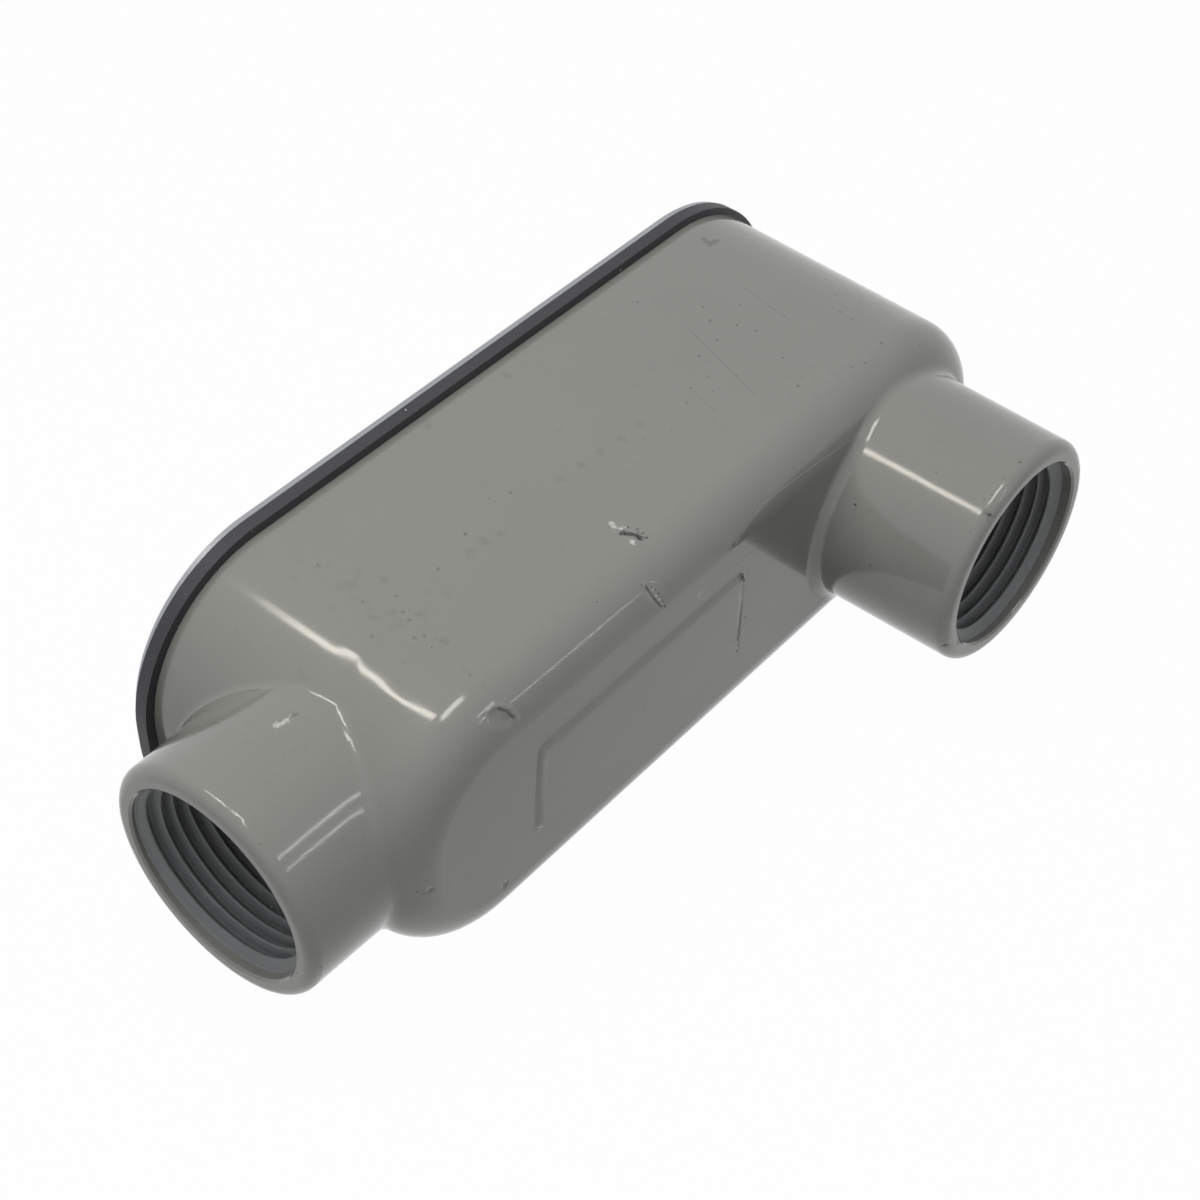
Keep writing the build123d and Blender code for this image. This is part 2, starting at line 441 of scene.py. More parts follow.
@dataclass(frozen=True)
class BakedEnamel:
    """Grey enamel, sprayed on die-cast aluminium and baked.

    It gives the eye an even grey with sharp thin highlights, whose wavy edges show that the
    casting under it isn't quite flat. Marks carry grime and bare metal, and in a few of them the
    same colours are painted shade and painted highlights. A few dark grains of dust lie in the
    paint.
    """

    colour: str = "#8b8d88"
    dull_colour: str = "#868883"
    # Colour of grime, also used as painted shade in a few marks, and of bare metal, also used as painted
    # light in a few marks
    dirt_and_shade_colour: str = "#262724"
    bare_and_highlight_colour: str = "#d4d5d2"
    grain_colour: str = "#50514d"
    roughness: float = 0.12
    marked_roughness: float = 0.5
    refraction: float = 1.5
    patchy_contrast: float = 2.4
    patchy_offset: float = -0.25
    mottle_size: float = 16.0
    wave_size: float = 7.0
    wave_height: float = 0.035
    peel_size: float = 1.3
    peel_height: float = 0.005
    smear_size: float = 0.35
    grains: Specks = Specks(spacing=1.9, radius=0.2, share=0.46, patch_size=14.0, strength=1.4)
    smudges: Specks = Specks(spacing=2.4, radius=0.75, share=0.5, patch_size=11.0, strength=0.10)

    def wear_and_painted_light(
        self, tree: bpy.types.NodeTree, name: str, patchy: bpy.types.NodeSocket
    ) -> bpy.types.NodeSocket:
        """Tell how much of a mark's grime and painted shade, or of its bare metal and painted light,
        shows.

        Args:
            tree: node tree that takes the nodes.
            name: name of the mesh's value for it.
            patchy: fine noise that breaks it up.

        Returns:
            A share from zero to one.
        """
        amount = add_node(tree, "ShaderNodeAttribute", attribute_name=name)
        broken = add_node(
            tree,
            "ShaderNodeMath",
            {0: patchy, 1: self.patchy_contrast, 2: self.patchy_offset},
            operation="MULTIPLY_ADD",
        )
        return add_node(
            tree,
            "ShaderNodeMath",
            {0: broken.outputs[0], 1: amount.outputs["Fac"]},
            operation="MULTIPLY",
            use_clamp=True,
        ).outputs[0]

    def material(self) -> bpy.types.Material:
        """Make the enamel's material.

        Returns:
            The material.
        """
        material, tree = new_material("baked_grey_enamel")
        where = add_node(tree, "ShaderNodeTexCoord").outputs["Object"]

        # Size and number of finer layers of each noise
        noises = (
            (self.mottle_size, 4.0),
            (self.smear_size, 3.0),
            (self.wave_size, 1.0),
            (self.peel_size, 2.0),
        )
        mottle, smear, wave, peel = (
            add_node(
                tree,
                "ShaderNodeTexNoise",
                {"Vector": where, "Scale": per_mm(size), "Detail": detail},
            ).outputs["Fac"]
            for size, detail in noises
        )
        # Shares of grime and painted shade, and of bare metal and painted light, from the marks
        dirt_and_shade = self.wear_and_painted_light(tree, "dirt_and_shade", smear)
        bare_and_highlight = self.wear_and_painted_light(tree, "bare_and_highlight", smear)
        layers = (
            (mottle, self.dull_colour),
            (self.smudges.mask(tree, where), self.grain_colour),
            (self.grains.mask(tree, where), self.grain_colour),
            (dirt_and_shade, self.dirt_and_shade_colour),
            (bare_and_highlight, self.bare_and_highlight_colour),
        )
        dull = add_node(tree, "ShaderNodeMath", {0: dirt_and_shade, 1: bare_and_highlight}, operation="MAXIMUM")
        roughness = add_node(
            tree,
            "ShaderNodeMapRange",
            {"Value": dull.outputs[0], "To Min": self.roughness, "To Max": self.marked_roughness},
        )
        wavy = add_node(
            tree,
            "ShaderNodeBump",
            {"Height": wave, "Distance": self.wave_height * MM},
        )
        skin = add_node(
            tree,
            "ShaderNodeBump",
            {
                "Height": peel,
                "Distance": self.peel_height * MM,
                "Normal": wavy.outputs["Normal"],
            },
        )
        surface = add_node(
            tree,
            "ShaderNodeBsdfPrincipled",
            {
                "Base Color": layered(tree, self.colour, layers),
                "Roughness": roughness.outputs[0],
                "IOR": self.refraction,
                "Normal": skin.outputs["Normal"],
            },
        )
        add_node(tree, "ShaderNodeOutputMaterial", {"Surface": surface.outputs[0]})
        return material


class HubAxis(Enum):
    """Axis of a hub, along which the rings of its thread follow each other."""

    X = "X"
    Y = "Y"


@dataclass(frozen=True)
class CutThread:
    """Die-cast aluminium cut by a tap, dull under a thin dry veil of the enamel's spray.

    It gives the eye a neutral, slightly blue grey without the enamel's gloss, with the tap's
    fine rings across the flanks and a few bright specks where the metal shows.
    """

    axis: HubAxis
    colour: str = "#8a8c8e"
    dull_colour: str = "#76787a"
    speck_colour: str = "#e2e4e6"
    roughness: float = 0.5
    mottle_size: float = 2.5
    ring_pitch: float = 0.3
    ring_height: float = 0.006
    ring_wobble: float = 2.0
    refraction: float = 1.5
    specks: Specks = Specks(spacing=1.1, radius=0.14, share=0.46, patch_size=5.0)

    def material(self) -> bpy.types.Material:
        """Make the cut metal's material.

        Returns:
            The material.
        """
        material, tree = new_material(f"sprayed_cut_aluminium_{self.axis.value.lower()}")
        where = add_node(tree, "ShaderNodeTexCoord").outputs["Object"]
        mottle = add_node(
            tree,
            "ShaderNodeTexNoise",
            {"Vector": where, "Scale": per_mm(self.mottle_size), "Detail": 4.0},
        )
        layers = (
            (mottle.outputs["Fac"], self.dull_colour),
            (self.specks.mask(tree, where), self.speck_colour),
        )
        rings = add_node(
            tree,
            "ShaderNodeTexWave",
            {
                "Vector": where,
                "Scale": per_mm(self.ring_pitch) * WAVE_TEXTURE_LENGTH,
                "Distortion": self.ring_wobble,
            },
            bands_direction=self.axis.value,
        )
        cut = add_node(
            tree,
            "ShaderNodeBump",
            {"Height": rings.outputs["Fac"], "Distance": self.ring_height * MM},
        )
        surface = add_node(
            tree,
            "ShaderNodeBsdfPrincipled",
            {
                "Base Color": layered(tree, self.colour, layers),
                "Roughness": self.roughness,
                "IOR": self.refraction,
                "Normal": cut.outputs["Normal"],
            },
        )
        add_node(tree, "ShaderNodeOutputMaterial", {"Surface": surface.outputs[0]})
        return material


@dataclass(frozen=True)
class SheetRubber:
    """Black synthetic rubber, pressed into sheet and cut with a steel rule.

    It gives the eye a near-black with a dull, faintly grained sheen and a few pale specks of lint.
    """

    colour: str = "#242529"
    worn_colour: str = "#323338"
    lint_colour: str = "#b9b9b4"
    roughness: float = 0.55
    refraction: float = 1.52
    cloud_size: float = 9.0
    grain_size: float = 0.5
    grain_height: float = 0.012
    lint_spacing: float = 2.6
    lint_reach: float = 0.05

    def material(self) -> bpy.types.Material:
        """Make the rubber's material.

        Returns:
            The material.
        """
        material, tree = new_material("black_sheet_rubber")
        where = add_node(tree, "ShaderNodeTexCoord").outputs["Object"]
        cloud = add_node(
            tree,
            "ShaderNodeTexNoise",
            {"Vector": where, "Scale": per_mm(self.cloud_size), "Detail": 3.0},
        )
        lint = add_node(
            tree,
            "ShaderNodeTexVoronoi",
            {"Vector": where, "Scale": per_mm(self.lint_spacing)},
        )
        speck = add_node(
            tree,
            "ShaderNodeMath",
            {0: lint.outputs["Distance"], 1: self.lint_reach},
            operation="LESS_THAN",
        )
        layers = (
            (cloud.outputs["Fac"], self.worn_colour),
            (speck.outputs[0], self.lint_colour),
        )
        grain = add_node(
            tree,
            "ShaderNodeTexNoise",
            {"Vector": where, "Scale": per_mm(self.grain_size), "Detail": 3.0},
        )
        skin = add_node(
            tree,
            "ShaderNodeBump",
            {"Height": grain.outputs["Fac"], "Distance": self.grain_height * MM},
        )
        surface = add_node(
            tree,
            "ShaderNodeBsdfPrincipled",
            {
                "Base Color": layered(tree, self.colour, layers),
                "Roughness": self.roughness,
                "IOR": self.refraction,
                "Normal": skin.outputs["Normal"],
            },
        )
        add_node(tree, "ShaderNodeOutputMaterial", {"Surface": surface.outputs[0]})
        return material


@dataclass(frozen=True)
class RolledSheet:
    """A bare metal with a fine grain in one direction: rolled and stamped, or plated and brushed.

    It gives the eye a soft grey shine that is streaked along the grain.
    """

    name: str
    colour: str
    dull_colour: str
    roughness: float
    grain_width: float = 0.35
    grain_length: float = 14.0
    grain_height: float = 0.003

    def material(self) -> bpy.types.Material:
        """Make the metal's material.

        Returns:
            The material.
        """
        material, tree = new_material(self.name)
        where = add_node(tree, "ShaderNodeTexCoord").outputs["Object"]
        along = add_node(
            tree,
            "ShaderNodeMapping",
            {"Vector": where, "Scale": (self.grain_width / self.grain_length, 1.0, 1.0)},
        )
        grain = add_node(
            tree,
            "ShaderNodeTexNoise",
            {"Vector": along.outputs[0], "Scale": per_mm(self.grain_width), "Detail": 3.0},
        )
        skin = add_node(
            tree,
            "ShaderNodeBump",
            {"Height": grain.outputs["Fac"], "Distance": self.grain_height * MM},
        )
        surface = add_node(
            tree,
            "ShaderNodeBsdfPrincipled",
            {
                "Base Color": layered(tree, self.colour, ((grain.outputs["Fac"], self.dull_colour),)),
                "Metallic": 1.0,
                "Roughness": self.roughness,
                "Normal": skin.outputs["Normal"],
            },
        )
        add_node(tree, "ShaderNodeOutputMaterial", {"Surface": surface.outputs[0]})
        return material


def ripple(points: np.ndarray, size: float) -> np.ndarray:
    """Irregular waves from a few crossing sine waves.

    Args:
        points: places in millimetres, one in a row.
        size: about the length of a wave in millimetres.

    Returns:
        A value from -1 to 1 for each place.
    """
    total = np.zeros(len(points))
    for number in range(1, RIPPLE_WAVES + 1):
        direction = np.sin(np.array(RIPPLE_TURNS) * number + np.arange(3))
        angles = points @ direction * 2 * math.pi * number / (RIPPLE_STRETCH * size)
        total += np.sin(angles + number)
    return total / RIPPLE_WAVES


@dataclass(frozen=True)
class Mark:
    """One mark of wear, painted shade or painted light, traced by its pixels on the photograph.

    Its pixels are a line, or the middles of as many spots where it is scattered. A depth below
    zero raises the metal. Grime and bare metal lie in it by their shares; in a few marks these
    shares are painted shade and painted light. One that softens rounds the edges below it by
    that many millimetres.
    """

    name: str
    path: tuple[Pixel, ...]
    width: float
    depth: float
    dirt_and_shade: float = 0.0
    bare_and_highlight: float = 0.0
    ragged: float = 0.3
    scattered: bool = False
    soften: float = 0.0

    def pixels(self) -> list[Pixel]:
        """Pixels to lay on the surface, with more of them between those of a line.

        Returns:
            The pixels, only those of the path where it is a straight edge or spots.
        """
        if self.scattered or self.soften:
            return list(self.path)
        step = max(LEAST_PIXEL_STEP, PIXEL_STEP_PER_WIDTH * self.width)
        dense = [self.path[0]]
        for start, end in zip(self.path[:-1], self.path[1:]):
            parts = math.ceil(math.dist(start, end) / step)
            for part in range(1, parts + 1):
                share = part / parts
                dense.append(tuple(a + (b - a) * share for a, b in zip(start, end)))
        return dense


@dataclass(frozen=True)
class Trace:
    """One line or spot of a mark, laid on the casting's surface in millimetres."""

    mark: Mark
    places: np.ndarray
    normal: np.ndarray
    margin: float = 1.9
    cells_across: int = 6
    finest_cell: float = 0.07
    stretching: float = 2.0
    depth_reach: float = 1.0
    cover_reach: float = 1.15
    cover_slope: float = 1.3
    spot_direction: Place = (0.3, 0.5, 0.8)
    least_facing: float = 0.3
    least_facing_softened: float = -0.1

    def reach(self, points: np.ndarray) -> np.ndarray:
        """Distance of points from the line.

        Args:
            points: places in millimetres, one in a row.

        Returns:
            Distances as shares of the mark's half width, roughened by its raggedness.
        """
        ends = np.vstack((self.places, self.places[-1:]))
        nearest = np.full(len(points), np.inf)
        for start, end in zip(ends[:-1], ends[1:]):
            run = end - start
            share = np.clip((points - start) @ run / max(run @ run, TINY_AREA), 0, 1)
            gaps = np.linalg.norm(points - start - share[:, None] * run, axis=1)
            nearest = np.minimum(nearest, gaps)
        rough = 1 + self.mark.ragged * ripple(points, self.mark.width)
        return nearest / (self.mark.width / 2) * rough

    def height(self, points: np.ndarray) -> np.ndarray:
        """How far the mark raises the surface at each of the points, in millimetres."""
        hollow = np.clip(1 - self.reach(points) ** 2, 0, None) ** 2
        return -self.mark.depth * hollow

    def cover(self, points: np.ndarray) -> np.ndarray:
        """How far the mark's grime covers each of the points, from 0 to 1."""
        return np.clip(self.cover_slope * (self.cover_reach - self.reach(points)), 0, 1)

    def patches(self) -> list["Patch"]:
        """Find the parts of the surface that the mark takes up.

        Returns:
            A patch for each stretch of its line, or one for a spot.
        """
        edge = self.mark.width / 2 * self.margin
        reach = np.array((edge, edge, max(edge, self.depth_reach)))
        cell = max(self.mark.width / self.cells_across, self.finest_cell)
        long_cell = cell if len(self.places) == 1 else cell * self.stretching
        ends = self.places if len(self.places) > 1 else self.places[[0, 0]]
        facing = self.least_facing_softened if self.mark.soften else self.least_facing
        made = []
        for start, end in zip(ends[:-1], ends[1:]):
            run = end - start
            run = run - self.normal * (run @ self.normal)
            if np.linalg.norm(run) < TINY_LENGTH:
                run = np.cross(self.normal, self.spot_direction)
            along = run / np.linalg.norm(run)
            axes = np.stack((along, np.cross(self.normal, along), self.normal))
            spots = np.stack((start, end)) @ axes.T
            low, high = spots.min(axis=0) - reach, spots.max(axis=0) + reach
            made.append(Patch(axes, low, high, (long_cell, cell), facing, self.mark.soften))
        return made


@dataclass(frozen=True)
class Patch:
    """A box along its own three axes, the last of them across the surface, in millimetres."""

    axes: np.ndarray
    low: np.ndarray
    high: np.ndarray
    cells: tuple[float, float]
    facing: float
    soften: float

    def meets(self, facets: "Facets") -> np.ndarray:
        """Tell which facets lie at least partly in the box and face its way.

        Args:
            facets: triangles of the surface.

        Returns:
            True for each such triangle.
        """
        spots = facets.corners @ self.axes.T
        least, most = spots.min(axis=1), spots.max(axis=1)
        low, high = self.low + TINY_OVERLAP, self.high - TINY_OVERLAP
        inside = ((least < high) & (most > low)).all(axis=1)
        return inside & (facets.normals[:, 0] @ self.axes[2] > self.facing)

    def holds(self, points: np.ndarray, normals: np.ndarray) -> np.ndarray:
        """Tell which points lie in the box and face its way.

        Args:
            points: places in millimetres, one in a row.
            normals: the surface's normals there.

        Returns:
            True for each such point.
        """
        spots = points @ self.axes.T
        inside = ((spots > self.low) & (spots < self.high)).all(axis=1)
        return inside & (normals @ self.axes[2] > self.facing)

    def places(self, axis: int) -> np.ndarray:
        """Places of the grid's lines across one of the first two axes, from border to border."""
        count = max(int((self.high[axis] - self.low[axis]) / self.cells[axis]), 2)
        return np.linspace(self.low[axis], self.high[axis], count + 1)

    def softened(self, spots: np.ndarray) -> tuple[np.ndarray, np.ndarray]:
        """Round the edges in a grid, all but its border, by evening its heights out again and again.

        Args:
            spots: the grid's places in rows and columns.

        Returns:
            The places and their normals, one in a row.
        """
        level = spots @ self.axes[2]
        smooth = level.copy()
        turned = np.broadcast_to(self.axes[2], spots.shape)
        gaps = [(self.high[i] - self.low[i]) / (level.shape[i] - 1) for i in (0, 1)]
        for axis in (0, 1):
            rounds = round(2 * (self.soften / gaps[axis]) ** 2)
            for _ in range(rounds):
                sides = np.roll(smooth, 1, axis) + np.roll(smooth, -1, axis)
                smooth[1:-1, 1:-1] = ((2 * smooth + sides) / 4)[1:-1, 1:-1]
        for axis in (0, 1):
            slope = np.gradient(smooth, gaps[axis], axis=axis)
            turned = turned - slope[..., None] * self.axes[axis]
        turned = turned / np.linalg.norm(turned, axis=2, keepdims=True)
        moved = spots + (smooth - level)[..., None] * self.axes[2]
        return moved.reshape(-1, 3), turned.reshape(-1, 3)

    def grid(self, surface: "Facets", tree: BVHTree) -> "Facets | None":
        """Lay an even grid of triangles on the surface in the box.

        Args:
            surface: the solid's own triangles.
            tree: the same triangles, to cast rays at.

        Returns:
            The grid's triangles, or None where the surface doesn't fill the box.
        """
        across, along = np.meshgrid(self.places(0), self.places(1), indexing="ij")
        top = np.full(across.size, self.high[2])
        starts = np.stack((across.ravel(), along.ravel(), top), axis=1) @ self.axes
        down = Vector(-self.axes[2])
        depth = self.high[2] - self.low[2]
        hits = [tree.ray_cast(Vector(start), down, depth) for start in starts]
        if any(hit[0] is None for hit in hits):
            return None
        spots = np.array([hit[0] for hit in hits])
        faces = np.array([hit[2] for hit in hits])
        normals = surface.normals_at(spots, faces)
        if (normals @ self.axes[2] < self.facing).any():
            return None
        if self.soften:
            spots, normals = self.softened(spots.reshape(*across.shape, 3))
        rows = np.arange(across.size).reshape(across.shape)
        first, second = rows[:-1, :-1].ravel(), rows[1:, :-1].ravel()
        third, fourth = rows[1:, 1:].ravel(), rows[:-1, 1:].ravel()
        lower = np.stack((first, second, third), axis=1)
        upper = np.stack((first, third, fourth), axis=1)
        triangles = np.concatenate((lower, upper))
        return Facets(spots[triangles], normals[triangles])


@dataclass(frozen=True)
class Facets:
    """Triangles of a surface with a smooth normal at each corner, in millimetres."""

    corners: np.ndarray
    normals: np.ndarray

    @classmethod
    def of(cls, piece: bpy.types.Object) -> "Facets":
        """Read the triangles of a piece's mesh.

        Args:
            piece: object whose faces are all triangles.

        Returns:
            Its triangles.
        """
        mesh = piece.data
        count = len(mesh.loops)
        rows = np.empty(count, dtype=int)
        mesh.loops.foreach_get("vertex_index", rows)
        places = np.empty(len(mesh.vertices) * 3)
        mesh.vertices.foreach_get("co", places)
        normals = np.empty(count * 3)
        mesh.corner_normals.foreach_get("vector", normals)
        turn = np.array(piece.matrix_world.to_3x3())
        shift = np.array(piece.matrix_world.translation)
        corners = (places.reshape(-1, 3)[rows] @ turn.T + shift) / MM
        return cls(corners.reshape(-1, 3, 3), (normals.reshape(-1, 3) @ turn.T).reshape(-1, 3, 3))

    @classmethod
    def joined(cls, parts: list["Facets"]) -> "Facets":
        """Put several sets of triangles together."""
        return cls(
            np.concatenate([part.corners for part in parts]),
            np.concatenate([part.normals for part in parts]),
        )

    def tree(self) -> BVHTree:
        """Put the triangles in a form to cast rays at.

        Returns:
            The tree that holds them.
        """
        places = self.corners.reshape(-1, 3)
        rows = np.arange(len(places)).reshape(-1, 3)
        return BVHTree.FromPolygons(places.tolist(), rows.tolist())

    def pick(self, chosen: np.ndarray) -> "Facets":
        """Keep only the chosen triangles."""
        return Facets(self.corners[chosen], self.normals[chosen])

    def cut(self, direction: np.ndarray, place: float) -> "Facets":
        """Cut the triangles where a plane crosses them.

        Args:
            direction: the plane's normal.
            place: the plane's distance from the origin along it.

        Returns:
            The same surface, with no triangle on both sides of the plane.
        """
        side = self.corners @ direction - place
        side[np.abs(side) < TINY_LENGTH] = 0.0
        crossed = (side.min(axis=1) < 0) & (side.max(axis=1) > 0)
        if not crossed.any():
            return self
        rows = np.concatenate((self.corners, self.normals), axis=2)[crossed]
        side = side[crossed]
        above = side > 0
        lone = np.where(above.sum(axis=1) == 1, above.argmax(axis=1), side.argmin(axis=1))
        order = (lone[:, None] + np.arange(3)) % 3
        side = np.take_along_axis(side, order, axis=1)
        tip, left, right = np.moveaxis(np.take_along_axis(rows, order[..., None], axis=1), 1, 0)
        to_left = tip + (left - tip) * (side[:, 0] / (side[:, 0] - side[:, 1]))[:, None]
        to_right = tip + (right - tip) * (side[:, 0] / (side[:, 0] - side[:, 2]))[:, None]
        pieces = np.concatenate(
            (
                np.stack((tip, to_left, to_right), axis=1),
                np.stack((to_left, left, right), axis=1),
                np.stack((to_left, right, to_right), axis=1),
            )
        )
        edges = pieces[:, 1:, :3] - pieces[:, :1, :3]
        twice_areas = np.linalg.norm(np.cross(edges[:, 0], edges[:, 1]), axis=1)
        pieces = pieces[twice_areas > TINY_AREA]
        return Facets.joined([self.pick(~crossed), Facets(pieces[..., :3], pieces[..., 3:])])

    def normals_at(self, spots: np.ndarray, rows: np.ndarray) -> np.ndarray:
        """Smooth normals at places on the triangles.

        Args:
            spots: places on the surface.
            rows: the triangle that holds each of them.

        Returns:
            A unit normal for each place.
        """
        first, second, third = np.moveaxis(self.corners[rows], 1, 0)
        facing = np.cross(second - first, third - first)
        area = (facing**2).sum(axis=1)
        to_second = (np.cross(spots - first, third - first) * facing).sum(axis=1) / area
        to_third = (np.cross(second - first, spots - first) * facing).sum(axis=1) / area
        shares = np.stack((1 - to_second - to_third, to_second, to_third), axis=1)
        normals = (self.normals[rows] * shares[..., None]).sum(axis=1)
        return normals / np.linalg.norm(normals, axis=1)[:, None]

    def opened(self, patch: Patch) -> "Facets":
        """Cut out the part of the surface that lies below a patch.

        Args:
            patch: the part to leave out.

        Returns:
            The rest of the surface.
        """
        below = patch.meets(self)
        rest = [self.pick(~below)]
        inner = self.pick(below)
        for axis in (0, 1):
            for place in patch.places(axis)[[0, -1]]:
                inner = inner.cut(patch.axes[axis], place)
                below = patch.meets(inner)
                rest.append(inner.pick(~below))
                inner = inner.pick(below)
        return Facets.joined(rest)

    def refined(self, patches: list[Patch], tree: BVHTree) -> "Facets":
        """Lay a fine grid below each patch, in place of what lies there.

        Args:
            patches: where the grids lie.
            tree: the triangles, to cast rays at.

        Returns:
            The same surface, finer below the patches.
        """
        near = np.any([patch.meets(self) for patch in patches], axis=0)
        worked = self.pick(near)
        for patch in sorted(patches, key=lambda patch: -max(patch.cells)):
            grid = patch.grid(self, tree)
            if grid is not None:
                worked = Facets.joined([worked.opened(patch), grid])
        return Facets.joined([self.pick(~near), worked])

    def welded(self) -> tuple[np.ndarray, np.ndarray, np.ndarray]:
        """Join the corners that have the same place and normal.

        Returns:
            Places, normals and the triangles' rows of these, without those that closed to a line.
        """
        rows = np.concatenate((self.corners, self.normals), axis=2).reshape(-1, 6)
        _, first, back = np.unique(rows.round(4), axis=0, return_index=True, return_inverse=True)
        kept = rows[first]
        triangles = back.reshape(-1, 3)
        whole = (triangles != np.roll(triangles, 1, axis=1)).all(axis=1)
        return kept[:, :3], kept[:, 3:], triangles[whole]


MARKS = (
    # Dent on the back edge beside the end hub, a hollow with a raised rim, its groove darkened with a
    # painted shadow and a small raised spot lightened as a painted highlight
    Mark("edge_dent_hollow", ((497, 717), (506, 722)), 2.6, 0.28, ragged=0.15),
    Mark(
        "edge_dent_rim",
        ((489, 710), (494, 706), (501, 705), (511, 708), (517, 718)),
        1.0, -0.15, ragged=0.2,
    ),
    Mark("edge_dent_shadowed_groove", ((499, 709), (508, 712), (514, 718)), 0.42, 0.14, dirt_and_shade=0.6),
    Mark("edge_dent_painted_highlight", ((487, 709), (493, 704)), 0.6, -0.06, bare_and_highlight=0.35),
    # Gouge in the side near the back edge
    Mark("side_gouge_bruise", ((617, 526), (645, 536)), 3.0, 0.06),
    Mark(
        "side_gouge",
        ((622, 533), (630, 533), (636, 534), (641, 538)),
        0.78, 0.35, dirt_and_shade=1.0, ragged=0.8,
    ),
    Mark(
        "side_gouge_bits",
        ((628, 527), (638, 529), (643, 533), (647, 537)),
        0.36, 0.1, dirt_and_shade=0.9, ragged=0.6, scattered=True,
    ),
    Mark(
        "side_gouge_chips",
        ((611, 523), (614, 526), (621, 528), (632, 542)),
        0.72, -0.05, bare_and_highlight=0.8, ragged=0.8, scattered=True,
    ),
    # Nick in the back edge
    Mark("edge_nick_bruise", ((650, 590), (662, 603)), 2.2, 0.14, bare_and_highlight=0.12, ragged=0.4),
    Mark("edge_nick", ((647, 587), (651, 593), (656, 600), (662, 607)), 0.4, 0.12, dirt_and_shade=0.9, ragged=0.6),
    Mark(
        "edge_nick_teeth",
        ((652, 587), (656, 590), (659, 594), (662, 597), (664, 602), (665, 606)),
        0.36, 0.08, dirt_and_shade=0.8, ragged=0.8, scattered=True,
    ),
    Mark(
        "edge_nick_chips",
        ((654, 590), (657, 596), (660, 600), (662, 604)),
        0.34, -0.05, bare_and_highlight=0.7, ragged=0.8, scattered=True,
    ),
    # Faint pale line along the back edge's rounding near the back hub, a painted highlight in a very
    # shallow groove, and a faint pale scratch over the back edge
    Mark(
        "edge_painted_highlight_line",
        ((850, 440), (800, 475), (760, 505), (735, 545)),
        0.2, 0.02, bare_and_highlight=0.18, ragged=0.8,
    ),
    Mark("back_scratch", ((752, 551), (720, 577), (651, 644)), 0.2, 0.02, bare_and_highlight=0.16, ragged=0.8),
    # Edges of the panel, rounded by the paint: painted light on the top and left ones, and painted shade
    # in a shallow groove along the far one
    Mark("panel_top_edge_painted_light", ((741, 576), (548, 744)), 1.1, 0.0, bare_and_highlight=0.05, soften=0.3),
    Mark("panel_left_edge_painted_light", ((546, 752), (542, 826)), 1.1, 0.0, bare_and_highlight=0.12, soften=0.3),
    Mark("panel_bottom_edge", ((734, 648), (542, 824)), 1.1, 0.0, soften=0.3),
    Mark("panel_right_edge_painted_shade", ((742, 575), (738, 649)), 0.7, 0.1, dirt_and_shade=0.55, ragged=0.6, soften=0.1),
    # Dent on top of the end hub
    Mark("hub_dent", ((279, 724), (287, 719)), 2.2, 0.13),
    Mark("hub_dent_chip", ((276, 725), (282, 723), (286, 719)), 0.75, -0.04, bare_and_highlight=0.75, ragged=0.9),
    Mark("hub_dent_streak", ((285, 719), (290, 717), (296, 714)), 0.7, 0.05, dirt_and_shade=0.35, ragged=0.8),
    # Hollow and swell along the corner above the end hub, both shallow, which kink its highlight
    Mark("corner_hollow", ((338, 672), (346, 660)), 4.6, 0.09, ragged=0.15),
    Mark("corner_swell", ((392, 698), (400, 706)), 4.0, -0.05, ragged=0.15),
    # Dimples near the lower edge of the back
    Mark("low_dimples", ((430, 890), (505, 885)), 1.5, 0.15, dirt_and_shade=0.25, scattered=True),
    # Pits in the paint of the side
    Mark(
        "side_pits",
        (
            (783, 358), (737, 325), (740, 305), (703, 307), (710, 320), (717, 340), (638, 302),
            (756, 331), (798, 386), (840, 312), (852, 319), (881, 343), (852, 367), (865, 363),
            (699, 356), (708, 377), (691, 388), (745, 617),
        ),
        0.4, 0.06, dirt_and_shade=0.6, ragged=0.7, scattered=True,
    ),
    Mark(
        "corner_pits",
        (
            (318, 565), (362, 602), (396, 596), (403, 612), (372, 637), (415, 638), (425, 636),
            (405, 662), (440, 640), (410, 620), (470, 675), (438, 569), (511, 493), (466, 534),
        ),
        0.5, 0.04, dirt_and_shade=0.42, ragged=0.9, scattered=True,
    ),
    # Grey smears on the side
    Mark(
        "side_smears",
        (
            (339, 587), (352, 584), (384, 580), (374, 618), (392, 612), (420, 613), (398, 626),
            (446, 641), (470, 552), (485, 542), (500, 533), (429, 426), (508, 376), (560, 480),
            (580, 466), (600, 452), (620, 438), (640, 425),
        ),
        1.4, 0.0, dirt_and_shade=0.13, ragged=1.0, scattered=True,
    ),
    Mark("back_hub_pits", ((855, 505), (870, 565), (1020, 462)), 0.45, 0.08, dirt_and_shade=0.9, scattered=True),
    # Scratches on the side
    Mark("long_scratch", ((690, 330), (722, 362), (755, 395)), 0.22, 0.015, dirt_and_shade=0.2, ragged=0.8),
    Mark("high_scratch", ((745, 288), (768, 305), (790, 320)), 0.22, 0.015, dirt_and_shade=0.2, ragged=0.8),
    Mark("low_scratch", ((690, 388), (715, 412)), 0.22, 0.015, dirt_and_shade=0.18, ragged=0.8),
    # Grey smudge near the closed end
    Mark("end_smudge", ((704, 240), (710, 244), (716, 241)), 0.9, 0.02, dirt_and_shade=0.4, ragged=0.9),
    # Nicks round the back hub's mouth
    Mark(
        "rim_nicks",
        ((945, 645), (958, 643), (968, 641), (1008, 608), (990, 515)),
        0.9, 0.1, dirt_and_shade=0.85, ragged=0.9, scattered=True,
    ),
)


